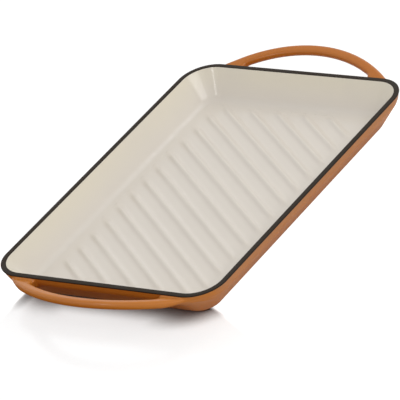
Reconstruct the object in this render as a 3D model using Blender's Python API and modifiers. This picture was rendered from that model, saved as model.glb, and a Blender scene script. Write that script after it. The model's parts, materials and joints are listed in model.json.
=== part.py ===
"""Rectangular enamelled cast-iron grill plate.

One iron casting carries the sloping walls, the diagonal searing ribs and a
loop handle at each short end.  Enamel lies over it: cream in the cooking
well, orange on the outside and the handles, and a black ground coat that is
left bare on the rim and under the sole.

Lengths are in metres.  +Z is up, +Y runs along the plate to one handle, and
the sole rests on z = 0 under the middle of the plate.
"""

import math

import bmesh
import bpy
from mathutils import Vector

# Rim, measured over the outside of the black band
RIM_WIDTH = 0.2200
RIM_LENGTH = 0.3235
RIM_CORNER = 0.0280
RIM_BAND = 0.0046
RIM_EDGE = 0.0004

# Outer wall: an upright lip, then a taper down to the sole
BODY_HEIGHT = 0.0290
LIP_HEIGHT = 0.0066
LIP_DRAFT = 0.0007
LIP_BLEND = 0.0040
WALL_DRAFT = 0.0195
SOLE_CORNER = 0.0148
SOLE_FILLET = 0.0060
SKIN_LIFT = 0.0001

# Cooking well
WELL_DEPTH = 0.0231
WELL_DRAFT = 0.0156
FLOOR_CORNER = 0.0120
FLOOR_FILLET = 0.0090

# Ribs: rounded ridges on the floor, all at one angle to the short ends
RIB_ANGLE = math.radians(37.0)
RIB_PITCH = 0.0161
RIB_SHIFT = -0.0006
RIB_HEIGHT = 0.0020
RIB_HALF_WIDTH = 0.0044
RIB_ROOT = 0.0012
RIB_SIDE_MARGIN = 0.0150
RIB_END_MARGIN = 0.0128
RIB_SHORTEST = 0.0080

# Loop handles: a tilted plate with an arched outline and a finger hole
HANDLE_TILT = math.radians(18.0)
HANDLE_DROP = 0.0058
HANDLE_REACH = 0.0290
HANDLE_RADIUS = 0.1260
HANDLE_SPAN = 0.2000
HANDLE_LEG = 0.0040
ROOT_CORNER = 0.0200
BAR_WIDTH = 0.0088
BAR_THICKNESS = 0.0066
BAR_EDGE = 0.0028
FINGER_WIDTH = 0.1265
FINGER_CORNER = 0.0060
FINGER_LEG = 0.0134

# Enamel
COAT = 0.0005
GROUND_COAT = 0.0010
SOLE_COAT = 0.0006
SOLE_LAND = 0.0020
CLEARANCE = 0.0003

# Facets
CORNER_STEPS = 8
FILLET_STEPS = 4
ARCH_STEPS = 20
RIB_SIDES = 8
RIB_RINGS = 4

# Worked out from the sizes above
IRON = COAT + CLEARANCE
COAT_TOP = BODY_HEIGHT - GROUND_COAT - CLEARANCE
FLOOR = BODY_HEIGHT - WELL_DEPTH
WELL_EDGE = RIM_BAND + WELL_DRAFT
OVERRUN = GROUND_COAT + BAR_THICKNESS

PARTS = "grill_plate"
CUTTERS = "cutters"


def clear_scene():
    """Take out whatever the scene holds."""
    for thing in list(bpy.data.objects):
        bpy.data.objects.remove(thing, do_unlink=True)
    for old in list(bpy.data.collections):
        bpy.data.collections.remove(old)


def collection(name):
    """A collection of this name under the scene."""
    found = bpy.data.collections.get(name)
    if found is None:
        found = bpy.data.collections.new(name)
        bpy.context.scene.collection.children.link(found)
    return found


def material(name, colour, roughness, metallic=0.0):
    """A Principled material in linear colour."""
    made = bpy.data.materials.new(name)
    made.use_nodes = True
    shader = made.node_tree.nodes["Principled BSDF"]
    shader.inputs["Base Color"].default_value = (*colour, 1.0)
    shader.inputs["Roughness"].default_value = roughness
    shader.inputs["Metallic"].default_value = metallic
    return made


def add_object(name, mesh, home):
    """Put a mesh in the scene, in the collection called home."""
    thing = bpy.data.objects.new(name, mesh)
    collection(home).objects.link(thing)
    if home == CUTTERS:
        thing.hide_render = True
        thing.display_type = "WIRE"
    return thing


def boolean(thing, operation, other):
    """Join or cut with another object, or with a whole collection."""
    step = thing.modifiers.new(operation.title(), "BOOLEAN")
    step.operation = operation
    step.solver = "EXACT"
    if isinstance(other, bpy.types.Collection):
        step.operand_type = "COLLECTION"
        step.collection = other
    else:
        step.object = other


def rounded_path(corners, radii):
    """A path through (inset, height) corners, each inner one rounded.

    The last corner only gives the way on, and the path stops at the end of
    the last rounding.
    """
    path = [Vector(corners[0])]
    for i, radius in enumerate(radii, start=1):
        before, here, after = (Vector(c) for c in corners[i - 1:i + 2])
        into = (here - before).normalized()
        out = (after - here).normalized()
        turn = into.angle(out)
        reach = math.tan(turn / 2)
        room = 0.49 * min((here - before).length, (after - here).length)
        radius = min(radius, room / reach)
        normal = Vector((-into.y, into.x))
        centre = here - into * radius * reach + normal * radius
        for step in range(FILLET_STEPS + 1):
            swing = turn * step / FILLET_STEPS
            spoke = into * math.sin(swing) - normal * math.cos(swing)
            path.append(centre + spoke * radius)
    return path


def at_height(first, second, height):
    """The point of a straight line that lies at this height."""
    share = (height - first[1]) / (second[1] - first[1])
    return (first[0] + (second[0] - first[0]) * share, height)


def shifted_path(path, distance, top):
    """The path moved to its left by a distance, starting at height top."""
    normals = []
    for here, after in zip(path, path[1:]):
        run = (after - here).normalized()
        normals.append(Vector((-run.y, run.x)))
    moved = []
    for i, point in enumerate(path):
        first = normals[max(i - 1, 0)]
        second = normals[min(i, len(normals) - 1)]
        middle = (first + second).normalized()
        moved.append(point + middle * distance / middle.dot(first))
    moved[0] = Vector(at_height(moved[0], moved[1], top))
    return moved


def outline(inset, radius):
    """A rounded rectangle lying this far inside the rim's outside."""
    points = []
    half_x = RIM_WIDTH / 2 - inset - radius
    half_y = RIM_LENGTH / 2 - inset - radius
    for quarter, (side_x, side_y) in enumerate(((1, 1), (-1, 1), (-1, -1), (1, -1))):
        for step in range(CORNER_STEPS + 1):
            angle = math.pi / 2 * (quarter + step / CORNER_STEPS)
            points.append((side_x * half_x + radius * math.cos(angle),
                           side_y * half_y + radius * math.sin(angle)))
    return points


def loft(name, path, shifted, corner_at, home):
    """A closed solid through rounded rectangles that follow a path.

    Each ring keeps the corner that the unshifted path has there, less what
    the shift moved it inwards, so shifted lofts stay the same distance apart.
    """
    mesh = bpy.data.meshes.new(name)
    work = bmesh.new()
    rings = []
    for base, point in zip(path, shifted):
        radius = corner_at(base.x) - (point.x - base.x)
        verts = [work.verts.new((x, y, point.y)) for x, y in outline(point.x, radius)]
        edges = [work.edges.new((verts[i - 1], verts[i])) for i in range(len(verts))]
        rings.append((verts, edges))
    for (_, upper), (_, lower) in zip(rings, rings[1:]):
        bmesh.ops.bridge_loops(work, edges=upper + lower)
    for verts, _ in (rings[0], rings[-1]):
        work.faces.new(verts)
    bmesh.ops.recalc_face_normals(work, faces=work.faces)
    work.to_mesh(mesh)
    work.free()
    return add_object(name, mesh, home)


def outer_solid(name, shift, top, home):
    """The tray's outside as a full block, drawn in by shift."""
    lip = (LIP_DRAFT, BODY_HEIGHT - LIP_HEIGHT)
    corners = (at_height((0.0, BODY_HEIGHT), lip, top), lip,
               (WALL_DRAFT, SKIN_LIFT),
               (WALL_DRAFT + 2 * SOLE_FILLET, SKIN_LIFT))
    path = rounded_path(corners, (LIP_BLEND, SOLE_FILLET))

    def corner_at(inset):
        return RIM_CORNER + (SOLE_CORNER - RIM_CORNER) * inset / WALL_DRAFT

    return loft(name, path, shifted_path(path, shift, top), corner_at, home)


def well_solid(name, shift, top, home):
    """The hollow of the cooking well, let out into the iron by shift."""
    edge = (WELL_EDGE, FLOOR)
    corners = (at_height((RIM_BAND, BODY_HEIGHT), edge, top), edge,
               (WELL_EDGE + 2 * FLOOR_FILLET, FLOOR))
    path = rounded_path(corners, (FLOOR_FILLET,))

    def corner_at(inset):
        start = RIM_CORNER - RIM_BAND
        return start + (FLOOR_CORNER - start) * (inset - RIM_BAND) / WELL_DRAFT

    well = loft(name, path, shifted_path(path, -shift, top), corner_at, home)
    boolean(well, "DIFFERENCE", rib_solids(name + "_ribs", shift))
    return well


def rib_spans():
    """Middle and half length of each rib, where it crosses the rib field."""
    along = Vector((math.cos(RIB_ANGLE), -math.sin(RIB_ANGLE)))
    across = Vector((math.sin(RIB_ANGLE), math.cos(RIB_ANGLE)))
    field = Vector((RIM_WIDTH / 2 - WELL_EDGE - RIB_SIDE_MARGIN,
                    RIM_LENGTH / 2 - WELL_EDGE - RIB_END_MARGIN))
    reach = int(field.length / RIB_PITCH) + 1
    spans = []
    for number in range(-reach, reach + 1):
        foot = across * (RIB_SHIFT + number * RIB_PITCH)
        low, high = -math.inf, math.inf
        for axis in (0, 1):
            ends = sorted((side * field[axis] - foot[axis]) / along[axis]
                          for side in (-1, 1))
            low, high = max(low, ends[0]), min(high, ends[1])
        if high - low >= RIB_SHORTEST:
            spans.append((foot + along * (low + high) / 2, (high - low) / 2))
    return spans


def rib_solids(name, shift):
    """A rounded bar for each rib, in a collection of its own."""
    group = bpy.data.collections.new(name)
    collection(CUTTERS).children.link(group)
    width = RIB_HALF_WIDTH - shift
    height = RIB_HEIGHT + RIB_ROOT - shift
    for number, (middle, half) in enumerate(rib_spans()):
        mesh = bpy.data.meshes.new(f"{name}_{number}")
        work = bmesh.new()
        bmesh.ops.create_uvsphere(work, u_segments=RIB_SIDES,
                                  v_segments=RIB_RINGS + 1, radius=1.0)
        for vert in work.verts:
            pole = vert.co.z
            vert.co = Vector((pole * width + math.copysign(half - width - shift, pole),
                              vert.co.x * width, vert.co.y * height))
        work.to_mesh(mesh)
        work.free()
        bar = add_object(mesh.name, mesh, CUTTERS)
        collection(CUTTERS).objects.unlink(bar)
        group.objects.link(bar)
        bar.location = (middle.x, middle.y, FLOOR - RIB_ROOT)
        bar.rotation_euler.z = -RIB_ANGLE
    return group


def arc(centre, radius, start, end, steps):
    """Points on an arc, from one angle to another."""
    for step in range(steps + 1):
        angle = start + (end - start) * step / steps
        yield (centre[0] + radius * math.cos(angle),
               centre[1] + radius * math.sin(angle))


def arch(radius, half_span, corner, leg):
    """An arch on two upright legs, its shoulders rounded, as one outline."""
    hub = HANDLE_REACH - HANDLE_RADIUS
    side = half_span - corner
    rise = math.sqrt((radius - corner) ** 2 - side ** 2)
    lean = math.atan2(rise, side)
    foot = hub + rise - leg
    points = [(half_span, foot)]
    points += arc((side, hub + rise), corner, 0.0, lean, FILLET_STEPS)
    points += list(arc((0.0, hub), radius, lean, math.pi - lean, ARCH_STEPS))[1:-1]
    points += arc((-side, hub + rise), corner, math.pi - lean, math.pi, FILLET_STEPS)
    points.append((-half_span, foot))
    return points


def handle_mesh(name, shift):
    """The handle's plate with its finger hole, drawn in by shift."""
    curve = bpy.data.curves.new(name, "CURVE")
    curve.dimensions = "2D"
    curve.fill_mode = "BOTH"
    curve.bevel_depth = BAR_EDGE - shift
    curve.bevel_resolution = 1
    curve.offset = -curve.bevel_depth
    curve.extrude = BAR_THICKNESS / 2 - BAR_EDGE
    plate = arch(HANDLE_RADIUS + BAR_WIDTH / 2 - shift, HANDLE_SPAN / 2 - shift,
                 ROOT_CORNER - shift, HANDLE_LEG + shift)
    hole = arch(HANDLE_RADIUS - BAR_WIDTH / 2 + shift, FINGER_WIDTH / 2 + shift,
                FINGER_CORNER + shift, FINGER_LEG + shift)
    for points in (plate, hole[::-1]):
        spline = curve.splines.new("POLY")
        spline.points.add(len(points) - 1)
        for target, (x, y) in zip(spline.points, points):
            target.co = (x, y, 0.0, 1.0)
        spline.use_cyclic_u = True
    flat = bpy.data.objects.new(name, curve)
    collection(CUTTERS).objects.link(flat)
    seen = flat.evaluated_get(bpy.context.evaluated_depsgraph_get())
    mesh = bpy.data.meshes.new_from_object(seen)
    mesh.name = name
    bpy.data.objects.remove(flat)
    bpy.data.curves.remove(curve)
    work = bmesh.new()
    work.from_mesh(mesh)
    bmesh.ops.remove_doubles(work, verts=work.verts, dist=0.00001)
    bmesh.ops.recalc_face_normals(work, faces=work.faces)
    work.to_mesh(mesh)
    work.free()
    return mesh


def handle_solids(name, shift):
    """The two loop handles, one at each short end."""
    mesh = handle_mesh(name, shift)
    pair = []
    for end, turn in (("far", 0.0), ("near", math.pi)):
        loop = add_object(f"{name}_{end}", mesh, CUTTERS)
        side = math.cos(turn)
        loop.location = (0.0, side * RIM_LENGTH / 2, BODY_HEIGHT - HANDLE_DROP)
        loop.rotation_euler = (HANDLE_TILT, 0.0, turn)
        pair.append(loop)
    return pair


def tray_with_handles(name, shift, top, home):
    """The outside of the casting, with both handles joined to it."""
    block = outer_solid(name, shift, top, home)
    for loop in handle_solids(name + "_handle", shift):
        boolean(block, "UNION", loop)
    return block


def slab(name, inset, bottom, top, home):
    """A flat block with the sole's outline."""
    path = [Vector((inset, top)), Vector((inset, bottom))]

    def corner_at(at):
        return SOLE_CORNER - (at - WALL_DRAFT)

    return loft(name, path, path, corner_at, home)


def sole_inset():
    """Where the orange coat stops under the plate."""
    slope = math.atan2(BODY_HEIGHT - LIP_HEIGHT - SKIN_LIFT, WALL_DRAFT - LIP_DRAFT)
    return WALL_DRAFT + SOLE_FILLET * math.tan(slope / 2) + SOLE_LAND


def build():
    """Make the casting and its coats."""
    over = BODY_HEIGHT + OVERRUN

    casting = tray_with_handles("iron_casting", IRON, COAT_TOP, PARTS)
    boolean(casting, "DIFFERENCE", well_solid("well_in_iron", IRON, over, CUTTERS))

    inside = well_solid("cream_interior_enamel", COAT, COAT_TOP, PARTS)
    boolean(inside, "DIFFERENCE", well_solid("well_hollow", 0.0, over, CUTTERS))

    outside = tray_with_handles("orange_exterior_enamel", 0.0, COAT_TOP, PARTS)
    core = tray_with_handles("core_in_skin", COAT, over, CUTTERS)
    boolean(outside, "DIFFERENCE", core)
    window = slab("sole_window", sole_inset(), -OVERRUN, FLOOR, CUTTERS)
    boolean(outside, "DIFFERENCE", window)

    sole = slab("black_sole_enamel", sole_inset() + CLEARANCE, 0.0, SOLE_COAT, PARTS)

    band_path = [Vector((0.0, BODY_HEIGHT)), Vector((0.0, BODY_HEIGHT - GROUND_COAT))]
    band = loft("black_rim_enamel", band_path, band_path,
                lambda inset: RIM_CORNER, PARTS)
    hole_path = [Vector((RIM_BAND, over)), Vector((RIM_BAND, FLOOR))]
    hole = loft("rim_hole", hole_path, hole_path,
                lambda inset: RIM_CORNER - inset, CUTTERS)
    boolean(band, "DIFFERENCE", hole)
    round_edge = band.modifiers.new("Edge", "BEVEL")
    round_edge.width = RIM_EDGE
    round_edge.segments = 2
    round_edge.limit_method = "ANGLE"
    round_edge.angle_limit = math.radians(60)

    looks = (
        (casting, material("bare_iron", (0.035, 0.034, 0.034), 0.70, 0.6)),
        (inside, material("cream_enamel", (0.72, 0.66, 0.57), 0.12)),
        (outside, material("orange_enamel", (0.56, 0.19, 0.045), 0.16)),
        (sole, material("black_ground_coat_sole", (0.030, 0.027, 0.026), 0.55)),
        (band, material("black_ground_coat_rim", (0.035, 0.030, 0.028), 0.45)),
    )
    for thing, look in looks:
        thing.data.materials.append(look)
        thing.data.shade_smooth()
        thing.data.set_sharp_from_angle(angle=math.radians(35))
    for cutter in collection(CUTTERS).all_objects:
        cutter.hide_render = True
        cutter.display_type = "WIRE"


def main():
    clear_scene()
    collection(PARTS)
    collection(CUTTERS)
    build()


main()
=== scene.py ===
"""Looks of a rectangular enamelled cast-iron grill plate.

The packed model is the frame.  The cream well with its ribs, the orange
outside with its two loop handles, the black rim and the iron under them are
modelled again here in fine detail, and the black sole keeps its solid.
Lengths are in metres, +Z is up and +Y runs along the plate.
"""

import json
import math

import bmesh
import bpy
import numpy as np
from bpy.props import FloatProperty, FloatVectorProperty, PointerProperty
from mathutils import Matrix, Vector

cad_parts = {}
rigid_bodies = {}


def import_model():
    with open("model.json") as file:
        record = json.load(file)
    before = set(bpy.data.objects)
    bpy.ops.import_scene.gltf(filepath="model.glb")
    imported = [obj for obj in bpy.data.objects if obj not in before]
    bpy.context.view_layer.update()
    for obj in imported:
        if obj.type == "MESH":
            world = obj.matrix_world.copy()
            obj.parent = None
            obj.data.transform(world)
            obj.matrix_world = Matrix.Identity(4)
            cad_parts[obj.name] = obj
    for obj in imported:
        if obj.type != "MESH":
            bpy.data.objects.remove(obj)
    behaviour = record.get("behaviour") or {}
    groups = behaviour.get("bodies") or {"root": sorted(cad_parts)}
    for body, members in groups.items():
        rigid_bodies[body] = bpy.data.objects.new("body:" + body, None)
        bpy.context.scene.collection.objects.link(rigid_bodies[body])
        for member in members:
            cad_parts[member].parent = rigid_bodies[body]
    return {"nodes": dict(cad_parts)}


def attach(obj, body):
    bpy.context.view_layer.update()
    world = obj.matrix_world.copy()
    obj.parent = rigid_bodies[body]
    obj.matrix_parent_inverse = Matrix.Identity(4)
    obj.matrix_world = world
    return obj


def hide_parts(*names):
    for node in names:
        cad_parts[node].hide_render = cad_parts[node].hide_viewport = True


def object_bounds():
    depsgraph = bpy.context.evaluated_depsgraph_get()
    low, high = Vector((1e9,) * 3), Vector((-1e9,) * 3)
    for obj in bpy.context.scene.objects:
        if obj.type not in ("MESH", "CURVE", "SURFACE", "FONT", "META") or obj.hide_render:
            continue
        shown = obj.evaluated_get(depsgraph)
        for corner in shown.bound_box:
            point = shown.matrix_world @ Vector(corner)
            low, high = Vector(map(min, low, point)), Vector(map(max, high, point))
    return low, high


bl_info = {
    "name": "Enamelled Grill Plate",
    "version": (1, 0, 0),
    "blender": (4, 5, 0),
    "location": "3D View > Sidebar > Grill Plate",
    "description": "Enamel, ribs, handles and studio for a cast-iron grill plate",
    "category": "Object",
}

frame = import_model()
CAD_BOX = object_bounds()

UP = Vector((0.0, 0.0, 1.0))
# Corners closer together than this are one.
MERGE = 1e-6
# Step over which the slope of a distance is measured.
PROBE = 1e-5


# Sizes


def length(name, default, description, least=0.0):
    """A length that a user may change."""
    return FloatProperty(name=name, description=description, default=default,
                         min=least, precision=5, unit="LENGTH", subtype="DISTANCE")


def tilt(name, degrees, description):
    """An angle that a user may change."""
    return FloatProperty(name=name, description=description,
                         default=math.radians(degrees), subtype="ANGLE")


def amount(name, default, description, least=0.0):
    """A plain number that a user may change."""
    return FloatProperty(name=name, description=description, default=default,
                         min=least)


def fade(name, start, end, description):
    """Two places, with nothing at the first and all at the second."""
    return FloatVectorProperty(name=name, description=description, size=2,
                               default=(start, end), precision=5, unit="LENGTH")


def colour(name, default, description):
    """A colour that a user may change."""
    return FloatVectorProperty(name=name, description=description, default=default,
                               size=3, min=0.0, max=1.0, subtype="COLOR")


class TraySizes(bpy.types.PropertyGroup):
    """The tray without its ribs and handles."""
    rim_width: length("Rim width", CAD_BOX[1].x - CAD_BOX[0].x,
                      "Across the black rim")
    rim_length: length("Rim length", 0.3235, "Along the black rim")
    rim_corner: length("Rim corner", 0.0280, "Radius of the rim's corners")
    rim_band: length("Rim band", 0.0046, "Width of the black rim")
    rim_edge: length("Rim edge", 0.0004, "Rounding of the rim's edges")
    body_height: length("Height", 0.0290, "From the table to the rim")
    lip_height: length("Lip height", 0.0066, "Upright band under the rim")
    lip_draft: length("Lip draft", 0.0007, "How far the lip leans in")
    lip_corner: length("Lip corner", 0.0315, "Corner radius under the lip")
    lip_blend: length("Lip blend", 0.0080, "Rounding between lip and taper")
    wall_draft: length("Wall draft", 0.0195, "How far the outside leans in")
    sole_corner: length("Sole corner", 0.0148, "Corner radius of the sole")
    sole_fillet: length("Sole fillet", 0.0060, "Rounding at the sole")
    skin_lift: length("Skin lift", 0.0001, "Gap under the orange coat")
    well_depth: length("Well depth", 0.0231, "From the rim to the floor")
    well_draft: length("Well draft", 0.0156, "How far the inner wall leans in")
    floor_corner: length("Floor corner", 0.0120, "Corner radius of the floor")
    floor_fillet: length("Floor fillet", 0.0090, "Rounding at the floor")
    coat: length("Enamel", 0.0005, "Thickness of the coloured enamel")
    ground_coat: length("Ground coat", 0.0010, "Thickness of the black enamel")
    clearance: length("Clearance", 0.0003, "Between the iron and the black coats")
    tuck: length("Tuck", 0.0003, "How far the orange coat runs up behind the rim")


class RibSizes(bpy.types.PropertyGroup):
    """The ribs on the floor of the well."""
    angle: tilt("Angle", 37.0, "Turn of the ribs from the short ends")
    pitch: length("Pitch", 0.0161, "From one rib to the next")
    shift: length("Shift", -0.0009, "Offset of the middle rib", least=-0.1)
    height: length("Height", 0.0020, "Height of a rib over the floor")
    spread: length("Spread", 0.0019, "From a rib's crest to its steepest slope")
    end_taper: length("End taper", 0.0083, "How far from its end a rib starts to fade")
    end_spread: length("End spread", 0.0060, "How gently a rib fades out")
    side_margin: length("Side margin", 0.0150, "Plain floor beside the ribs")
    end_margin: length("End margin", 0.0128, "Plain floor before and after them")
    shortest: length("Shortest", 0.0080, "Length of the shortest rib")
    seam: length("Seam", 0.0035, "Flat strip between the fine sheet and the fillet")
    step_across: length("Step across", 0.00105, "Mesh step across the ribs")
    step_along: length("Step along", 0.00150, "Mesh step along the ribs")


class HandleSizes(bpy.types.PropertyGroup):
    """The two loop handles."""
    tilt: tilt("Tilt", 18.0, "How far the handles rise outwards")
    drop: length("Drop", 0.00592, "From the rim down to the middle of the bar")
    reach: length("Reach", 0.02885, "From the rim out to the middle of the bar")
    radius: length("Radius", 0.1260, "Radius of the arched bar")
    span: length("Span", 0.2000, "Width over both roots")
    leg: length("Leg", 0.0040, "Straight root inside the wall")
    root_corner: length("Root corner", 0.0200, "Rounding of the shoulder")
    bar_width: length("Bar width", 0.0088, "Width of the bar")
    bar_thickness: length("Bar thickness", 0.0066, "Thickness of the bar")
    bar_edge: length("Bar edge", 0.0028, "Rounding along the bar")
    finger_width: length("Finger width", 0.1265, "Width of the finger hole")
    finger_corner: length("Finger corner", 0.0060, "Rounded ends of the hole")
    finger_leg: length("Finger leg", 0.0134, "Hole beyond its rounded ends")
    blend_over: length("Blend over", 0.0009, "Fillet over the root")
    blend_under: length("Blend under", 0.0045, "Fillet under the root")
    blend_side: length("Blend side", 0.0060, "Fillet into the tray's corner")
    fade_start: length("Fade start", 0.0700, "Where the root starts to thin out")
    fade_end: length("Fade end", 0.0940, "Where the root ends in the lip")
    fade_left: amount("Fade left", 0.25, "Share of the thickness left there", 0.05)
    iron_margin: length("Iron margin", 0.0014, "How deep the iron lies in a handle")
    voxel: length("Mesh step", 0.00120, "Mesh step of the orange outside")


class EnamelColours(bpy.types.PropertyGroup):
    """Colours of the enamel, in linear light, and where they give way."""
    cream: colour("Cream", (0.722, 0.666, 0.592), "Floor of the well")
    # Painted light: the walls' cream is a lighter, warmer copy of the floor's cream.
    cream_wall_lit: colour("Cream wall", (0.755, 0.693, 0.563), "Walls of the well")
    orange: colour("Orange", (0.550, 0.184, 0.019), "Outside and handles")
    # Thin orange also serves as painted shade on the far handle, and darkens the outside
    # towards the bottom.
    orange_thin_and_shade: colour("Thin orange", (0.47, 0.135, 0.009),
                        "Where the orange enamel runs thin")
    # This duller orange is painted shade on the lip of the long sides.
    orange_lip_shade: colour("Worn orange", (0.42, 0.187, 0.075),
                        "Upright band under the rim")
    ground: colour("Ground coat", (0.021, 0.0145, 0.0092), "Black rim and sole")
    rust: colour("Rust", (0.085, 0.055, 0.040), "Flecks in the ground coat")
    iron: colour("Iron", (0.060, 0.056, 0.053), "Bare cast iron")
    # Far places painted shade: the far handle darker than the near one.
    far: fade("Far", -0.005, 0.010, "Thinner along the plate, from the rim's end")
    # Side and lip place the duller orange's painted shade on the lip of the long sides.
    side: fade("Side", -0.005, -0.001, "Worn across the plate, from the rim's side")
    lip: fade("Lip", -0.002, 0.003, "Worn upwards, from the foot of the lip")
    # Foot makes the outside darker towards the bottom, just above the table.
    foot: fade("Foot", 0.006, 0.000, "Thinner downwards, from the table")


class FloorSettings(bpy.types.PropertyGroup):
    """The pale floor and its shade."""
    half_width: length("Half width", 30.0, "From its middle to its edge")
    white: colour("White", (0.82,) * 3, "Colour in which it lights the plate")
    # Painted shade: a dark patch that the camera never sees, which takes away the light
    # the floor bounces onto the plate's near end.
    shade_patch: colour("Patch", (0.24, 0.09, 0.03), "Warm dark patch by the near handle")
    shade: colour("Shade", (0.10, 0.05, 0.03), "Colour close to the plate")
    glow: amount("Glow", 0.66, "White that it shows by itself")
    bounce: amount("Bounce", 0.40, "How strongly it shows the light on it")
    shade_reach: length("Shade reach", 0.03, "How far the plate can shade it")
    shade_dark: amount("Shade dark", 0.15, "Share of open sky in full shade")
    shade_gone: amount("Shade gone", 0.68, "Share of open sky without shade")
    shade_patch_x: fade("Patch across", 0.085, 0.055, "Patch, across the plate")
    shade_patch_y: fade("Patch along", -0.120, -0.160, "Patch, along the plate")
    left_shade: fade("Left shade", -0.078, -0.088, "Deeper shade on the left")
    left_deep: amount("Left depth", 0.15, "How much deeper it is there")
    # Left and right, the floor is painted full white, wiping out the plate's shade there.
    left_x: fade("Left across", -0.0890, -0.0940, "White on the left, across")
    left_y: fade("Left along", -0.100, -0.130, "White on the left, along")
    right_x: fade("Right across", 0.080, 0.085, "White on the right, across")
    right_slant: fade("Right slant", -0.0815, -0.0765, "White on the right, slanting")
    slant: tilt("Slant", 62.5, "Turn of the slanting edge from the right")


class StageSettings(bpy.types.PropertyGroup):
    """Camera, lamps and sky."""
    camera_place: FloatVectorProperty(
        name="Camera", description="Where the camera stands", size=3,
        default=(2.1760, -2.4768, 1.8735), subtype="TRANSLATION", unit="LENGTH")
    camera_aim: FloatVectorProperty(
        name="Aim", description="Direction in which the camera looks", size=3,
        default=(-0.5758, 0.6525, -0.4926), subtype="DIRECTION")
    camera_roll: tilt("Roll", 17.2, "Turn of the camera about its own axis")
    lens: amount("Lens", 414.0, "Focal length in millimetres", 1.0)
    lamp_distance: length("Lamp distance", 1.6, "From the plate to each softbox")
    sky: amount("Sky", 0.61, "Light from all round")


# Materials


class Wire:
    """A socket that Python arithmetic joins to others."""

    def __init__(self, nodes, socket):
        self.nodes = nodes
        self.socket = socket

    def __add__(self, other):
        return self.nodes.calculate("ADD", self, other)

    def __radd__(self, other):
        return self.nodes.calculate("ADD", other, self)

    def __sub__(self, other):
        return self.nodes.calculate("SUBTRACT", self, other)

    def __rsub__(self, other):
        return self.nodes.calculate("SUBTRACT", other, self)

    def __mul__(self, other):
        return self.nodes.calculate("MULTIPLY", self, other)

    def __rmul__(self, other):
        return self.nodes.calculate("MULTIPLY", other, self)


class Nodes:
    """A node tree and the way to add to it."""

    def __init__(self, tree):
        self.tree = tree

    def give(self, node, values):
        """Set or link sockets of a node."""
        for key, value in values.items():
            if isinstance(key, str):
                key = key.replace("_", " ")
            socket = node.inputs[key]
            if isinstance(value, Wire):
                self.tree.links.new(value.socket, socket)
            elif socket.type == "RGBA":
                socket.default_value = (*value[:3], 1.0)
            else:
                socket.default_value = value

    def node(self, kind, settings=None, values=None, out=0):
        """Add a node: settings first, then the values and links."""
        node = self.tree.nodes.new(kind)
        for key, value in (settings or {}).items():
            setattr(node, key, value)
        self.give(node, values or {})
        return Wire(self, node.outputs[out]) if node.outputs else None

    def calculate(self, operation, *values):
        """The result of a Math node."""
        return self.node("ShaderNodeMath", {"operation": operation},
                         dict(enumerate(values)))


class Finish(Nodes):
    """A material with a Principled shader and the nodes that feed it."""

    def __init__(self, name, **fixed):
        old = bpy.data.materials.get(name)
        if old:
            bpy.data.materials.remove(old)
        self.material = bpy.data.materials.new(name)
        self.material.use_nodes = True
        super().__init__(self.material.node_tree)
        self.shader = self.tree.nodes["Principled BSDF"]
        self.give(self.shader, fixed)
        self.place = self.node("ShaderNodeTexCoord", out="Object")

    def axis(self, letter):
        """One coordinate of the place."""
        return self.node("ShaderNodeSeparateXYZ", None, {0: self.place},
                         out="XYZ".index(letter))

    def noise(self, scale, detail, roughness=0.5):
        """A noise value between 0 and 1."""
        return self.node("ShaderNodeTexNoise", None,
                         {"Vector": self.place, "Scale": scale, "Detail": detail,
                          "Roughness": roughness})

    def span(self, value, low, high, start=0.0, end=1.0):
        """A value moved from one range to another, smoothly and held there."""
        return self.node("ShaderNodeMapRange", {"interpolation_type": "SMOOTHSTEP"},
                         {0: value, 1: low, 2: high, 3: start, 4: end})

    def past(self, value, edge, offsets):
        """How far a value is past an edge, over a pair of offsets from it."""
        return self.span(value, edge + offsets[0], edge + offsets[1])

    def patches(self, low, high, **grain):
        """Soft patches where the noise rises from a low to a high value."""
        return self.span(self.noise(**grain), low, high)

    def mix(self, share, first, second):
        """A colour between two colours."""
        return self.node("ShaderNodeMix", {"data_type": "RGBA"},
                         {0: share, 6: first, 7: second}, out=2)

    def relief(self, depth, under=None, **grain):
        """A normal bent by noise of this depth, over another normal."""
        values = {"Height": self.noise(**grain), "Distance": depth}
        if under:
            values["Normal"] = under
        return self.node("ShaderNodeBump", None, values)

    def paint(self, **values):
        """Link or set the shader's own sockets."""
        self.give(self.shader, values)
        return self.material


def shaded(tone, factor):
    """A colour made darker or lighter."""
    return [channel * factor for channel in tone]


def cream_enamel(paint, tray):
    """Glossy cream enamel, lighter and warmer up the walls as painted light."""
    finish = Finish("cream_enamel", Coat_Weight=0.6, Coat_Roughness=0.09,
                    Specular_IOR_Level=0.2)
    floor = tray.body_height - tray.well_depth
    # Painted light: the cream turns lighter and warmer up the walls.
    up = finish.span(finish.axis("Z"), floor, tray.body_height)
    base = finish.mix(up, paint.cream, paint.cream_wall_lit)
    cloud = finish.patches(0.35, 0.65, scale=14.0, detail=3.0)
    base = finish.mix(cloud * 0.35, base, shaded(paint.cream, 0.965))
    fleck = finish.patches(0.70, 0.78, scale=2600.0, detail=1.0)
    base = finish.mix(fleck * 0.10, base, shaded(paint.cream, 0.6))
    peel = finish.relief(depth=0.00004, scale=230.0, detail=2.0)
    wave = finish.relief(depth=0.00025, under=peel, scale=38.0, detail=1.0)
    smear = finish.noise(scale=60.0, detail=3.0)
    return finish.paint(Base_Color=base, Normal=wave, Roughness=0.26 + smear * 0.12)


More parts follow.
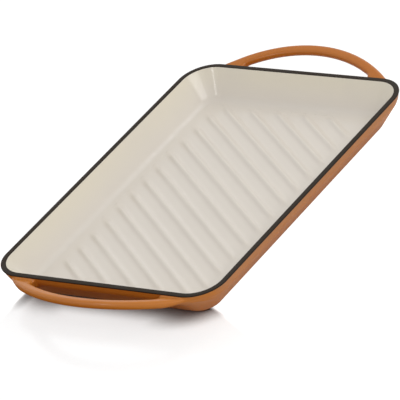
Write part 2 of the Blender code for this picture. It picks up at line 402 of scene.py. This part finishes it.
def orange_enamel(paint, tray):
    """Glossy orange enamel, painted shade on the far handle and long sides' lip, darker
    low down.
    """
    finish = Finish("orange_enamel", Coat_Weight=0.2, Coat_Roughness=0.15,
                    Specular_IOR_Level=0.3)
    cloud = finish.patches(0.30, 0.70, scale=18.0, detail=3.0, roughness=0.6)
    base = finish.mix(cloud * 0.4, paint.orange, paint.orange_thin_and_shade)
    # Painted shade: the far handle darker than the near one.
    far = finish.past(finish.axis("Y"), tray.rim_length / 2, paint.far)
    base = finish.mix(far * 0.7, base, paint.orange_thin_and_shade)
    grain = finish.patches(0.55, 0.75, scale=420.0, detail=2.0, roughness=0.6)
    base = finish.mix(grain * 0.25, base, paint.orange_thin_and_shade)
    # Painted shade: a duller orange on the lip of the long sides.
    side = finish.calculate("ABSOLUTE", finish.axis("X"))
    side = finish.past(side, tray.rim_width / 2, paint.side)
    lip = finish.past(finish.axis("Z"), tray.body_height - tray.lip_height, paint.lip)
    base = finish.mix(side * lip * 0.6, base, paint.orange_lip_shade)
    # Darker towards the bottom, just above the table.
    foot = finish.past(finish.axis("Z"), 0.0, paint.foot)
    base = finish.mix(foot * 0.5, base, paint.orange_thin_and_shade)
    peel = finish.relief(depth=0.00005, scale=330.0, detail=2.0)
    wave = finish.relief(depth=0.00030, under=peel, scale=55.0, detail=1.0)
    smear = finish.noise(scale=80.0, detail=3.0)
    return finish.paint(Base_Color=base, Normal=wave, Roughness=0.34 + smear * 0.14)


def ground_enamel(name, paint, roughness):
    """Matt black ground enamel with a fine grain."""
    finish = Finish(name, Specular_IOR_Level=0.12)
    cloud = finish.patches(0.35, 0.70, scale=90.0, detail=4.0, roughness=0.6)
    base = finish.mix(cloud * 0.5, paint.ground, shaded(paint.ground, 1.6))
    rust = finish.patches(0.68, 0.76, scale=1500.0, detail=1.0)
    base = finish.mix(rust * 0.25, base, paint.rust)
    grain = finish.relief(depth=0.00006, scale=900.0, detail=3.0, roughness=0.7)
    wave = finish.relief(depth=0.00018, under=grain, scale=120.0, detail=2.0)
    return finish.paint(Base_Color=base, Normal=wave,
                        Roughness=roughness + cloud * 0.15)


def bare_iron(paint):
    """Grey cast iron with the grain of its sand mould."""
    finish = Finish("bare_iron", Specular_IOR_Level=0.5)
    cloud = finish.patches(0.35, 0.65, scale=45.0, detail=4.0, roughness=0.6)
    base = finish.mix(cloud, paint.iron, shaded(paint.iron, 1.5))
    sand = finish.relief(depth=0.00018, scale=1100.0, detail=3.0, roughness=0.7)
    smear = finish.noise(scale=300.0, detail=2.0)
    return finish.paint(Base_Color=base, Normal=sand, Metallic=0.35 + cloud * 0.2,
                        Roughness=0.62 + smear * 0.2)


def table_white(table):
    """White that shines at the camera by itself, with painted shade near the plate."""
    finish = Finish("studio_floor", Roughness=0.6, Specular_IOR_Level=0.1)
    x, y = finish.axis("X"), finish.axis("Y")
    # Painted shade: a dark patch, unseen by the camera, that darkens the light the floor
    # bounces onto the plate's near end.
    shade_patch = finish.span(y, *table.shade_patch_y) * finish.span(x, *table.shade_patch_x)
    finish.paint(Base_Color=finish.mix(shade_patch, table.white, table.shade_patch))

    # Painted light: beside the plate, left and right, the floor turns full white and its
    # shade is wiped out.
    left = finish.span(x, *table.left_x) * finish.span(y, *table.left_y)
    slant = x * math.cos(table.slant) + y * math.sin(table.slant)
    right = finish.span(slant, *table.right_slant) * finish.span(x, *table.right_x)
    clear = right + left
    # Painted shade: the floor's colour and glow darken where the plate hides the sky,
    # deeper on the left.
    sky = finish.node("ShaderNodeAmbientOcclusion", None,
                      {"Distance": table.shade_reach}, out="AO")
    sky = sky - finish.span(x, *table.left_shade, 0.0, table.left_deep)
    sky = finish.span(sky, table.shade_dark, table.shade_gone)
    sky = finish.calculate("MAXIMUM", sky, clear)
    glow = finish.mix(clear, (table.glow,) * 3, (1.0,) * 3)
    seen = finish.node("ShaderNodeBsdfPrincipled", None,
                       {"Base Color": finish.mix(sky, table.shade,
                                                 (table.bounce,) * 3),
                        "Roughness": 0.2, "Specular IOR Level": 0.5,
                        "Emission Color": finish.mix(sky, (0.0,) * 3, glow),
                        "Emission Strength": 1.0})
    camera = finish.node("ShaderNodeLightPath", out="Is Camera Ray")
    lights = Wire(finish, finish.shader.outputs[0])
    both = finish.node("ShaderNodeMixShader", None, {0: camera, 1: lights, 2: seen})
    finish.give(finish.tree.nodes["Material Output"], {"Surface": both})
    return finish.material


# Mesh helpers


def place_piece(name, mesh, material, node, smooth=True):
    """Put a finished mesh in the scene in place of a node of the frame."""
    old = bpy.data.objects.get(name)
    if old:
        bpy.data.objects.remove(old, do_unlink=True)
    for polygon in mesh.polygons:
        polygon.use_smooth = smooth
    mesh.materials.clear()
    mesh.materials.append(material)
    piece = bpy.data.objects.new(name, mesh)
    bpy.context.scene.collection.objects.link(piece)
    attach(piece, "root")
    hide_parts(node)
    return piece


def to_mesh(work, name):
    """Turn a bmesh into a mesh and let it go."""
    mesh = bpy.data.meshes.new(name)
    work.to_mesh(mesh)
    work.free()
    return mesh


def evaluated_copy(thing, name):
    """The mesh of an object with its modifiers, and the object removed."""
    bpy.context.scene.collection.objects.link(thing)
    seen = thing.evaluated_get(bpy.context.evaluated_depsgraph_get())
    mesh = bpy.data.meshes.new_from_object(seen)
    mesh.name = name
    bpy.data.batch_remove((thing, thing.data))
    return mesh


def rounded_path(corners, radii, steps):
    """A path of (inset, height) points, up to the end of its last rounding."""
    path = [Vector(corners[0])]
    for place, radius in enumerate(radii):
        before, here, after = (Vector(corner) for corner in corners[place:place + 3])
        into = (here - before).normalized()
        out = (after - here).normalized()
        turn = into.angle_signed(out)
        reach = radius * math.tan(abs(turn) / 2)
        normal = Vector((-into.y, into.x)) * math.copysign(1.0, -turn)
        centre = here - into * reach + normal * radius
        for step in range(steps + 1):
            swing = abs(turn) * step / steps
            spoke = into * math.sin(swing) - normal * math.cos(swing)
            path.append(centre + spoke * radius)
    return path


def rounded_face(work, tray, inset, corner, height, segments):
    """A rounded rectangle that lies this far inside the rim's outside."""
    before = set(work.faces)
    verts = bmesh.ops.create_grid(work, x_segments=1, y_segments=1, size=1.0)["verts"]
    half = Vector((tray.rim_width / 2 - inset, tray.rim_length / 2 - inset, 1.0))
    bmesh.ops.scale(work, verts=verts, vec=half)
    bmesh.ops.translate(work, verts=verts, vec=UP * height)
    bmesh.ops.bevel(work, geom=verts, offset=corner, offset_type="OFFSET",
                    affect="VERTICES", segments=segments, profile=0.5,
                    material=-1, clamp_overlap=False)
    return (set(work.faces) - before).pop()


def rounded_ring(work, tray, inset, corner, height, segments):
    """The edges of such a rounded rectangle, without its face."""
    face = rounded_face(work, tray, inset, corner, height, segments)
    edges = list(face.edges)
    bmesh.ops.delete(work, geom=[face], context="FACES_ONLY")
    return edges


def bridge_rings(work, rings):
    """Faces between each ring of edges and the next."""
    for upper, lower in zip(rings, rings[1:]):
        bmesh.ops.bridge_loops(work, edges=upper + lower)


def coordinates(verts):
    """The places of some vertices as an array."""
    return np.array([vert.co for vert in verts])


# Cooking well


def well_corner(tray, inset):
    """Corner radius of the well where it lies this far inside the rim."""
    start = tray.rim_corner - tray.rim_band
    share = (inset - tray.rim_band) / tray.well_draft
    return start + (tray.floor_corner - start) * share


def rib_lines(tray, ribs):
    """Middle and half length of each rib in the field of ribs."""
    along = Vector((math.cos(ribs.angle), -math.sin(ribs.angle)))
    across = Vector((math.sin(ribs.angle), math.cos(ribs.angle)))
    edge = tray.rim_band + tray.well_draft
    field = Vector((tray.rim_width / 2 - edge - ribs.side_margin,
                    tray.rim_length / 2 - edge - ribs.end_margin))
    most = int(field.length / ribs.pitch) + 1
    lines = []
    for number in range(-most, most + 1):
        foot = across * (ribs.shift + number * ribs.pitch)
        low, high = -math.inf, math.inf
        for axis in (0, 1):
            ends = sorted((side * field[axis] - foot[axis]) / along[axis]
                          for side in (-1, 1))
            low, high = max(low, ends[0]), min(high, ends[1])
        if high - low >= ribs.shortest:
            lines.append((foot + along * (low + high) / 2, (high - low) / 2))
    return lines


def rib_height(places, tray, ribs):
    """How far the ribs lift the floor at each place."""
    along = np.array((math.cos(ribs.angle), -math.sin(ribs.angle)))
    across = np.array((math.sin(ribs.angle), math.cos(ribs.angle)))
    rise = np.zeros(len(places))
    for middle, half in rib_lines(tray, ribs):
        way = places[:, :2] - np.array(middle)
        past = np.maximum(np.abs(way @ along) - (half - ribs.end_taper), 0.0)
        away = np.hypot(past / ribs.end_spread, way @ across / ribs.spread)
        rise += ribs.height * np.exp(-away ** 2 / 2)
    return rise


def rib_field(work, tray, ribs, half_x, half_y, floor):
    """A fine sheet turned with the ribs, cut to the field and raised."""
    wide = 2 * math.hypot(half_x, half_y)
    verts = bmesh.ops.create_grid(work, x_segments=round(wide / ribs.step_along),
                                  y_segments=round(wide / ribs.step_across),
                                  size=wide / 2)["verts"]
    bmesh.ops.rotate(work, verts=verts, matrix=Matrix.Rotation(-ribs.angle, 3, "Z"))
    bmesh.ops.translate(work, verts=verts, vec=UP * floor)
    for normal, reach in ((Vector((1, 0, 0)), half_x), (Vector((0, 1, 0)), half_y)):
        for side in (-1, 1):
            sheet = [vert for vert in work.verts if vert.link_faces]
            sheet += list(work.edges) + list(work.faces)
            bmesh.ops.bisect_plane(work, geom=sheet, dist=MERGE,
                                   plane_co=normal * side * reach,
                                   plane_no=normal * side, clear_outer=True)
    rise = rib_height(coordinates(work.verts), tray, ribs)
    for vert, lift in zip(work.verts, rise):
        vert.co.z += lift


def cooking_well(tray, ribs):
    """The cream skin: bead under the rim, wall, fillet, floor and ribs."""
    fillet_steps, corner_steps = 10, 14
    floor = tray.body_height - tray.well_depth
    foot = tray.rim_band + tray.well_draft
    bead = tray.body_height - tray.rim_edge
    slope = tray.well_draft / tray.well_depth
    path = rounded_path(((tray.rim_band - tray.rim_edge, bead),
                         (tray.rim_band + slope * tray.rim_edge, bead),
                         (foot, floor),
                         (foot + 2 * tray.floor_fillet, floor)),
                        (tray.rim_edge, tray.floor_fillet), fillet_steps)
    sheet_edge = path[-1].x + ribs.seam
    half_x = tray.rim_width / 2 - sheet_edge
    half_y = tray.rim_length / 2 - sheet_edge
    work = bmesh.new()
    rib_field(work, tray, ribs, half_x, half_y, floor)
    border = [edge for edge in work.edges if edge.is_boundary]
    rings = [rounded_ring(work, tray, inset, well_corner(tray, inset), height,
                          corner_steps) for inset, height in path]
    bridge_rings(work, rings)
    bmesh.ops.triangle_fill(work, use_beauty=True, use_dissolve=False,
                            normal=UP, edges=border + rings[-1])
    bmesh.ops.remove_doubles(work, verts=work.verts, dist=MERGE)
    bmesh.ops.recalc_face_normals(work, faces=work.faces)
    if sum(face.normal.z * face.calc_area() for face in work.faces) < 0.0:
        bmesh.ops.reverse_faces(work, faces=work.faces)
    return to_mesh(work, "cooking_well")


# Outside and handles


def rounding(radius, turn):
    """How far inside the next face a rounding of this radius starts."""
    return radius * math.tan(turn / 2) * math.sin(turn)


def meet(first, second, reach):
    """Distance to what two shapes share, with the edge rounded."""
    inner = np.minimum(np.maximum(first, second), -reach)
    return inner + np.hypot(np.maximum(first + reach, 0.0),
                            np.maximum(second + reach, 0.0))


def join(first, second, reach):
    """Distance to two shapes together, with the crease filled."""
    return -meet(-first, -second, reach)


def tray_distance(places, tray):
    """Distance from the outside of the tray, which goes on above the rim."""
    x, y, z = places.T
    under_lip = tray.body_height - tray.lip_height
    lip_lean = math.atan2(tray.lip_draft, tray.lip_height)
    wall_lean = math.atan2(tray.wall_draft - tray.lip_draft,
                           under_lip - tray.skin_lift)

    def side(inset, lean, corner):
        over_x = np.abs(x) - (tray.rim_width / 2 - inset - corner)
        over_y = np.abs(y) - (tray.rim_length / 2 - inset - corner)
        plan = (np.hypot(np.maximum(over_x, 0.0), np.maximum(over_y, 0.0))
                + np.minimum(np.maximum(over_x, over_y), 0.0) - corner)
        return plan * math.cos(lean)

    deep = np.clip((tray.body_height - z) / tray.lip_height, 0.0, 1.0)
    low = np.maximum(under_lip - z, 0.0) / under_lip
    corner = (tray.rim_corner + (tray.lip_corner - tray.rim_corner) * deep
              + (tray.sole_corner - tray.lip_corner) * low)
    lip = side((tray.body_height - z) * math.tan(lip_lean), lip_lean, corner)
    wall = side(tray.lip_draft + (under_lip - z) * math.tan(wall_lean), wall_lean,
                corner)
    sides = meet(lip, wall, rounding(tray.lip_blend, wall_lean - lip_lean))
    return meet(sides, tray.skin_lift - z,
                rounding(tray.sole_fillet, math.pi / 2 - wall_lean))


def root_share(x, grip):
    """Share of the bar's thickness that is left at each place of the root."""
    past = np.clip((np.abs(x) - grip.fade_start) / (grip.fade_end - grip.fade_start),
                   0.0, 1.0)
    return 1.0 - (1.0 - grip.fade_left) * past * past * (3.0 - 2.0 * past)


def arch_rise(radius, half_span, corner):
    """Height of the shoulder's centre over the hub, and its lean."""
    side = half_span - corner
    rise = math.sqrt((radius - corner) ** 2 - side ** 2)
    return rise, math.atan2(rise, side)


def arch_distance(x, y, grip, radius, half_span, corner):
    """Distance in the handle's plane from an arch on two legs."""
    x, up, side = np.abs(x), y - grip.reach + grip.radius, half_span - corner
    rise = arch_rise(radius, half_span, corner)[0]
    shoulder = np.hypot(x - side, up - rise) - corner
    below = np.where(up > rise, shoulder, x - half_span)
    return np.where(up * side > x * rise, np.hypot(x, up) - radius, below)


def handle_distance(places, tray, grip):
    """Distance from the two loop handles, and the height over their plane."""
    out = np.abs(places[:, 1]) - tray.rim_length / 2
    up = places[:, 2] - tray.body_height + grip.drop
    y = out * math.cos(grip.tilt) + up * math.sin(grip.tilt)
    z = up * math.cos(grip.tilt) - out * math.sin(grip.tilt)
    x = places[:, 0]
    outer = grip.radius + grip.bar_width / 2
    inner = grip.radius - grip.bar_width / 2
    plate = arch_distance(x, y, grip, outer, grip.span / 2, grip.root_corner)
    hole = arch_distance(x, y, grip, inner, grip.finger_width / 2,
                         grip.finger_corner)
    rise = arch_rise(outer, grip.span / 2, grip.root_corner)[0]
    foot = grip.reach - grip.radius + rise - grip.leg
    loop = np.maximum(np.maximum(plate, -hole), foot - y)
    full = grip.bar_thickness / 2
    half = full * root_share(x, grip)
    # The edge's rounding stays under half of what is left of the thickness.
    edge = np.minimum(grip.bar_edge, half * 0.9)
    return meet(loop, np.abs(z - full + half) - half, edge), z


def outside_distance(places, tray, grip):
    """Distance from the tray and its handles, with filled creases."""
    handle, over = handle_distance(places, tray, grip)
    beside = np.clip((np.abs(places[:, 0]) - grip.finger_width / 2)
                     / (grip.span - grip.finger_width) * 2, 0.0, 1.0)
    below = grip.blend_under + (grip.blend_side - grip.blend_under) * beside
    share = np.clip(0.5 + over / grip.bar_thickness, 0.0, 1.0)
    reach = below + (grip.blend_over - below) * share
    return join(tray_distance(places, tray), handle, reach)


def settle(places, tray, grip, rounds):
    """Move places onto the outside of the tray and handles."""
    least_slope = 0.1
    for _ in range(rounds):
        slope = np.stack([outside_distance(places + axis, tray, grip)
                          - outside_distance(places - axis, tray, grip)
                          for axis in np.eye(3) * PROBE], axis=1) / (2 * PROBE)
        away = outside_distance(places, tray, grip)
        steep = np.maximum((slope ** 2).sum(axis=1), least_slope)
        places = places - slope * (away / steep)[:, None]
    return places


def rough_block(tray):
    """The tray's outside as a plain block that stands over the rim."""
    extra_height, corner_steps = 0.005, 6
    levels = ((0.0, tray.rim_corner, tray.body_height + extra_height),
              (tray.lip_draft, tray.lip_corner, tray.body_height - tray.lip_height),
              (tray.wall_draft, tray.sole_corner, tray.skin_lift))
    work = bmesh.new()
    rings = [rounded_ring(work, tray, *level, corner_steps) for level in levels]
    bridge_rings(work, rings)
    bmesh.ops.holes_fill(work, edges=rings[0] + rings[-1], sides=0)
    bmesh.ops.recalc_face_normals(work, faces=work.faces)
    return work


def rough_loop(grip, skin):
    """One handle as a flat plate with its finger hole, in its own plane."""
    arc_steps = 40
    hub = grip.reach - grip.radius
    flat = bpy.data.curves.new("loop", "CURVE")
    flat.dimensions = "2D"
    flat.fill_mode = "BOTH"
    flat.extrude = grip.bar_thickness / 2 - skin
    outer = grip.radius + grip.bar_width / 2 - skin
    inner = grip.radius - grip.bar_width / 2 + skin
    shapes = ((outer, grip.span / 2 - skin, grip.root_corner, grip.leg),
              (inner, grip.finger_width / 2 + 2 * skin, grip.finger_corner,
               grip.finger_leg))
    for turn, (radius, half_span, corner, leg) in zip((1, -1), shapes):
        rise, lean = arch_rise(radius, half_span, corner)
        points = [(half_span, hub + rise - leg)]
        for step in range(arc_steps + 1):
            angle = lean + (math.pi - 2 * lean) * step / arc_steps
            points.append((radius * math.cos(angle), hub + radius * math.sin(angle)))
        points.append((-half_span, hub + rise - leg))
        spline = flat.splines.new("POLY")
        spline.points.add(len(points) - 1)
        for target, (x, y) in zip(spline.points, points[::turn]):
            target.co = (x, y, 0.0, 1.0)
        spline.use_cyclic_u = True
    return evaluated_copy(bpy.data.objects.new("loop", flat), "loop")


def add_loops(work, tray, grip, skin=0.0):
    """Add both handles as flat plates, this far under their finished skin."""
    plate = rough_loop(grip, skin)
    for turn in (0.0, math.pi):
        known = set(work.verts)
        work.from_mesh(plate)
        loop = [vert for vert in work.verts if vert not in known]
        shares = root_share(coordinates(loop)[:, 0], grip)
        for vert, share in zip(loop, shares):
            top = grip.bar_thickness / 2
            vert.co.z = top - (top - vert.co.z) * share
        place = (Matrix.Rotation(turn, 4, "Z")
                 @ Matrix.Translation((0.0, tray.rim_length / 2,
                                       tray.body_height - grip.drop))
                 @ Matrix.Rotation(grip.tilt, 4, "X"))
        bmesh.ops.transform(work, matrix=place, verts=loop)
    bpy.data.meshes.remove(plate)
    bmesh.ops.remove_doubles(work, verts=work.verts, dist=MERGE)


def even_skin(tray, grip):
    """Block and plates as one closed skin with small, even faces."""
    work = rough_block(tray)
    add_loops(work, tray, grip)
    rough = bpy.data.objects.new("rough", to_mesh(work, "rough"))
    remesh = rough.modifiers.new("Even", "REMESH")
    remesh.mode = "VOXEL"
    remesh.voxel_size = grip.voxel
    mesh = evaluated_copy(rough, "even_skin")
    work = bmesh.new()
    work.from_mesh(mesh)
    bpy.data.meshes.remove(mesh)
    return work


def open_skin(work, tray, grip):
    """Take away the tray's skin well over the rim and under the sole."""
    places = coordinates(work.verts)
    x, y, z = places.T
    on_tray = tray_distance(places, tray) < 2 * tray.coat
    land = tray.rim_band + tray.wall_draft
    over = on_tray & (z > tray.body_height + grip.voxel)
    under = ((z < tray.skin_lift + grip.voxel)
             & (np.abs(x) < tray.rim_width / 2 - land)
             & (np.abs(y) < tray.rim_length / 2 - land))
    gone = [vert for vert, spare in zip(work.verts, over | under) if spare]
    bmesh.ops.delete(work, geom=gone, context="VERTS")


def fit_skin(work, tray, grip, rounds):
    """Move the skin's corners onto the outside of the tray and handles."""
    places = settle(coordinates(work.verts), tray, grip, rounds)
    for vert, place in zip(work.verts, places):
        vert.co = place


def cut_skin(work, tray):
    """Cut the tray's skin level behind the black rim."""
    cut = tray.body_height - tray.ground_coat + tray.tuck
    middles = np.array([face.calc_center_median() for face in work.faces])
    near = (tray_distance(middles, tray) < 4 * tray.coat) & (
        middles[:, 2] > tray.body_height - tray.lip_height)
    faces = [face for face, close in zip(work.faces, near) if close]
    edges = {edge for face in faces for edge in face.edges}
    verts = {vert for face in faces for vert in face.verts}
    bmesh.ops.bisect_plane(work, geom=[*verts, *edges, *faces], dist=MERGE,
                           plane_co=UP * cut, plane_no=UP, clear_outer=True)


def outer_shell(tray, grip):
    """The orange skin: lip, taper, sole edge and both handles in one."""
    work = even_skin(tray, grip)
    open_skin(work, tray, grip)
    fit_skin(work, tray, grip, rounds=4)
    inner = [vert for vert in work.verts if not vert.is_boundary]
    bmesh.ops.smooth_vert(work, verts=inner, factor=0.5, use_axis_x=True,
                          use_axis_y=True, use_axis_z=True)
    fit_skin(work, tray, grip, rounds=3)
    cut_skin(work, tray)
    bmesh.ops.recalc_face_normals(work, faces=work.faces)
    return to_mesh(work, "outer_shell")


# Iron and rim


def cut_roots(work, known, tray):
    """Cut the new bars off inside the tray's wall and close their ends."""
    for side in (-1, 1):
        loop = [vert for vert in work.verts
                if vert not in known and vert.co.y * side > 0.0]
        edges = {edge for vert in loop for edge in vert.link_edges}
        faces = {face for vert in loop for face in vert.link_faces}
        cut = bmesh.ops.bisect_plane(
            work, geom=[*loop, *edges, *faces], dist=MERGE, clear_inner=True,
            plane_co=(0.0, side * (tray.rim_length / 2 - tray.rim_band), 0.0),
            plane_no=(0.0, side, 0.0))["geom_cut"]
        ends = [part for part in cut if isinstance(part, bmesh.types.BMEdge)]
        bmesh.ops.triangle_fill(work, use_beauty=True, edges=ends)


def iron_core(tray, grip):
    """The iron under the enamel: tray wall, floor and the two bars."""
    skin, corner_steps = 2 * tray.coat, 8
    floor = tray.body_height - tray.well_depth
    top = tray.body_height - tray.ground_coat - tray.clearance
    foot = tray.ground_coat + tray.clearance
    levels = ((tray.rim_band + tray.well_draft - skin, tray.floor_corner, floor - skin),
              (tray.rim_band - skin, tray.rim_corner - tray.rim_band, top),
              (skin, tray.rim_corner - skin, top),
              (tray.lip_draft + skin, tray.lip_corner,
               tray.body_height - tray.lip_height),
              (tray.wall_draft + 2 * skin, tray.sole_corner, foot))
    work = bmesh.new()
    faces = [rounded_face(work, tray, *level, corner_steps) for level in levels]
    rings = [list(face.edges) for face in faces]
    bmesh.ops.delete(work, geom=faces[1:-1], context="FACES_ONLY")
    bridge_rings(work, rings)
    known = set(work.verts)
    add_loops(work, tray, grip, grip.iron_margin)
    cut_roots(work, known, tray)
    bmesh.ops.recalc_face_normals(work, faces=work.faces)
    return to_mesh(work, "iron_core")


def rim_ring(tray):
    """The black rim: a low band with rounded edges."""
    corner_steps, edge_steps = 24, 4
    work = bmesh.new()
    middle = rounded_face(work, tray, 0.0, tray.rim_corner, tray.body_height,
                          corner_steps)
    bmesh.ops.inset_region(work, faces=[middle], thickness=tray.rim_band,
                           use_even_offset=True, use_boundary=True)
    bmesh.ops.delete(work, geom=[middle], context="FACES_ONLY")
    made = bmesh.ops.extrude_face_region(work, geom=list(work.faces))["geom"]
    low = [part for part in made if isinstance(part, bmesh.types.BMVert)]
    bmesh.ops.translate(work, verts=low, vec=-UP * tray.ground_coat)
    bmesh.ops.recalc_face_normals(work, faces=work.faces)
    # Its edges lie at the top, each between the level face and an upright one.
    level = 0.5
    top = [edge for edge in work.edges
           if min(vert.co.z for vert in edge.verts) > tray.body_height - tray.rim_edge
           and min(abs(face.normal.z) for face in edge.link_faces) < level]
    bmesh.ops.bevel(work, geom=top, offset=tray.rim_edge, offset_type="OFFSET",
                    affect="EDGES", segments=edge_steps, profile=0.5, material=-1)
    return to_mesh(work, "rim_ring")


# Operators


def add_coat(piece, thickness):
    """Give a skin its thickness, inwards."""
    coat = piece.modifiers.new("Coat", "SOLIDIFY")
    coat.thickness = thickness
    coat.offset = -1.0


class GRILL_OT_cooking_well(bpy.types.Operator):
    """Model the cream well with its ribs"""
    bl_idname = "grill.cooking_well"
    bl_label = "Cooking Well"

    def execute(self, context):
        tray, ribs = context.scene.grill_tray, context.scene.grill_ribs
        material = cream_enamel(context.scene.grill_paint, tray)
        piece = place_piece("cooking_well_enamel", cooking_well(tray, ribs), material,
                            "cream_interior_enamel")
        add_coat(piece, tray.coat)
        return {"FINISHED"}


class GRILL_OT_outer_shell(bpy.types.Operator):
    """Model the orange outside and both loop handles"""
    bl_idname = "grill.outer_shell"
    bl_label = "Outside and Handles"

    def execute(self, context):
        tray, grip = context.scene.grill_tray, context.scene.grill_handles
        material = orange_enamel(context.scene.grill_paint, tray)
        piece = place_piece("outside_and_handles_enamel", outer_shell(tray, grip),
                            material, "orange_exterior_enamel")
        add_coat(piece, tray.coat)
        return {"FINISHED"}


class GRILL_OT_rim(bpy.types.Operator):
    """Model the black rim"""
    bl_idname = "grill.rim"
    bl_label = "Black Rim"

    def execute(self, context):
        tray = context.scene.grill_tray
        material = ground_enamel("black_rim_coat", context.scene.grill_paint,
                                 roughness=0.45)
        place_piece("rim_ground_coat", rim_ring(tray), material,
                    "black_rim_enamel")
        return {"FINISHED"}


class GRILL_OT_iron(bpy.types.Operator):
    """Model the iron under the enamel"""
    bl_idname = "grill.iron"
    bl_label = "Iron"

    def execute(self, context):
        scene = context.scene
        place_piece("iron_core", iron_core(scene.grill_tray, scene.grill_handles),
                    bare_iron(scene.grill_paint), "iron_casting",
                    smooth=False)
        return {"FINISHED"}


class GRILL_OT_sole(bpy.types.Operator):
    """Finish the black sole, which keeps its solid"""
    bl_idname = "grill.sole"
    bl_label = "Sole"

    def execute(self, context):
        material = ground_enamel("black_sole_coat", context.scene.grill_paint,
                                 roughness=0.55)
        for place in frame["nodes"]["black_sole_enamel"].material_slots:
            place.material = material
        return {"FINISHED"}


# Each softbox has its name, bearing and elevation in degrees, width, height,
# power in watts, and whether it gives shade, gloss or both.
LAMPS = (
    ("back", 0.0, 38.0, 0.8, 0.8, 4.5, "shade"),
    ("back_strip", 5.0, 45.0, 0.22, 0.22, 0.55, "both"),
    ("right", 88.0, 34.0, 1.0, 0.30, 4.1, "shade"),
    ("right_box", 124.0, 43.0, 0.3, 0.3, 1.8, "shade"),
    ("right_sheen", 98.0, 39.0, 1.9, 0.75, 14.5, "gloss"),
    ("front", 196.0, 33.0, 0.3, 0.8, 1.4, "shade"),
    ("front_sheen", 194.0, 36.0, 0.14, 0.7, 2.4, "gloss"),
    ("left", 315.0, 40.0, 0.8, 0.8, 0.7, "shade"),
)


class GRILL_OT_stage(bpy.types.Operator):
    """Lay the pale floor and set the lamps, the sky and the camera"""
    bl_idname = "grill.stage"
    bl_label = "Studio"

    def execute(self, context):
        scene, stage = context.scene, context.scene.grill_stage
        self.floor(scene, scene.grill_floor)
        self.sky(scene, stage)
        for lamp in LAMPS:
            self.lamp(scene, stage.lamp_distance, *lamp)
        self.camera(scene, stage)
        scene.view_settings.view_transform = "Standard"
        return {"FINISHED"}

    def add(self, scene, name, data):
        """A stage object that takes the place of an older one."""
        old = bpy.data.objects.get(name)
        if old:
            bpy.data.objects.remove(old, do_unlink=True)
        thing = bpy.data.objects.new(name, data)
        scene.collection.objects.link(thing)
        return thing

    def floor(self, scene, table):
        """A wide white table that takes a soft shadow."""
        work = bmesh.new()
        bmesh.ops.create_grid(work, x_segments=1, y_segments=1, size=table.half_width)
        floor = self.add(scene, "studio_floor", to_mesh(work, "studio_floor"))
        floor.data.materials.append(table_white(table))

    def sky(self, scene, stage):
        """Even light from all round, white where it is seen or mirrored."""
        world = scene.world or bpy.data.worlds.new("studio")
        scene.world = world
        world.use_nodes = True
        world.node_tree.nodes.clear()
        air = Nodes(world.node_tree)
        seen = air.node("ShaderNodeLightPath", out="Is Camera Ray")
        for kind in ("Is Glossy Ray", "Is Transmission Ray"):
            ray = air.node("ShaderNodeLightPath", out=kind)
            seen = air.calculate("MAXIMUM", seen, ray)
        light, white = (air.node("ShaderNodeBackground", None,
                                 {"Color": (1.0,) * 3, "Strength": strength})
                        for strength in (stage.sky, 1.0))
        both = air.node("ShaderNodeMixShader", None, {0: seen, 1: light, 2: white})
        air.node("ShaderNodeOutputWorld", None, {"Surface": both})

    def lamp(self, scene, distance, name, bearing, rise, width, height, power, kind):
        """A softbox turned to the plate, for its shade, its gloss or both."""
        light = bpy.data.lights.new("softbox_" + name, "AREA")
        light.shape = "RECTANGLE"
        light.size, light.size_y = width, height
        light.energy = power
        lamp = self.add(scene, "softbox_" + name, light)
        bearing, rise = math.radians(bearing), math.radians(rise)
        spoke = Vector((math.sin(bearing) * math.cos(rise),
                        math.cos(bearing) * math.cos(rise), math.sin(rise)))
        lamp.visible_glossy = kind != "shade"
        lamp.visible_diffuse = kind != "gloss"
        lamp.location = spoke * distance
        lamp.rotation_euler = (-spoke).to_track_quat("-Z", "Y").to_euler()

    def camera(self, scene, stage):
        """The camera at the photograph's viewing angle, slightly rolled."""
        data = bpy.data.cameras.new("camera")
        data.lens = stage.lens
        camera = self.add(scene, "camera", data)
        aim = Vector(stage.camera_aim).to_track_quat("-Z", "Y").to_matrix()
        roll = Matrix.Rotation(-stage.camera_roll, 3, "Z")
        camera.matrix_world = Matrix.Translation(stage.camera_place) @ (
            aim @ roll).to_4x4()
        scene.camera = camera


class GRILL_PT_panel(bpy.types.Panel):
    """Sizes, colours and the steps that build the plate"""
    bl_idname = "GRILL_PT_panel"
    bl_label = "Grill Plate"
    bl_space_type = "VIEW_3D"
    bl_region_type = "UI"
    bl_category = "Grill Plate"

    def draw(self, context):
        layout = self.layout
        for step in STEPS:
            layout.operator(step.bl_idname)
        for name, kind in GROUPS.items():
            box = layout.box()
            box.label(text=kind.__doc__)
            for prop in kind.__annotations__:
                box.prop(getattr(context.scene, name), prop)


GROUPS = {
    "grill_tray": TraySizes,
    "grill_ribs": RibSizes,
    "grill_handles": HandleSizes,
    "grill_paint": EnamelColours,
    "grill_floor": FloorSettings,
    "grill_stage": StageSettings,
}
STEPS = (GRILL_OT_cooking_well, GRILL_OT_outer_shell, GRILL_OT_rim,
         GRILL_OT_iron, GRILL_OT_sole, GRILL_OT_stage)


def register():
    """Register the classes and put the settings on the scene."""
    for kind in (*GROUPS.values(), *STEPS, GRILL_PT_panel):
        bpy.utils.register_class(kind)
    for name, kind in GROUPS.items():
        setattr(bpy.types.Scene, name, PointerProperty(type=kind))


def unregister():
    """Take the settings and classes away again."""
    for name in GROUPS:
        delattr(bpy.types.Scene, name)
    for kind in reversed((*GROUPS.values(), *STEPS, GRILL_PT_panel)):
        bpy.utils.unregister_class(kind)


def main():
    """Build the plate and its studio."""
    register()
    bpy.ops.grill.cooking_well()
    bpy.ops.grill.outer_shell()
    bpy.ops.grill.rim()
    bpy.ops.grill.iron()
    bpy.ops.grill.sole()
    bpy.ops.grill.stage()


if __name__ == "__main__":
    main()
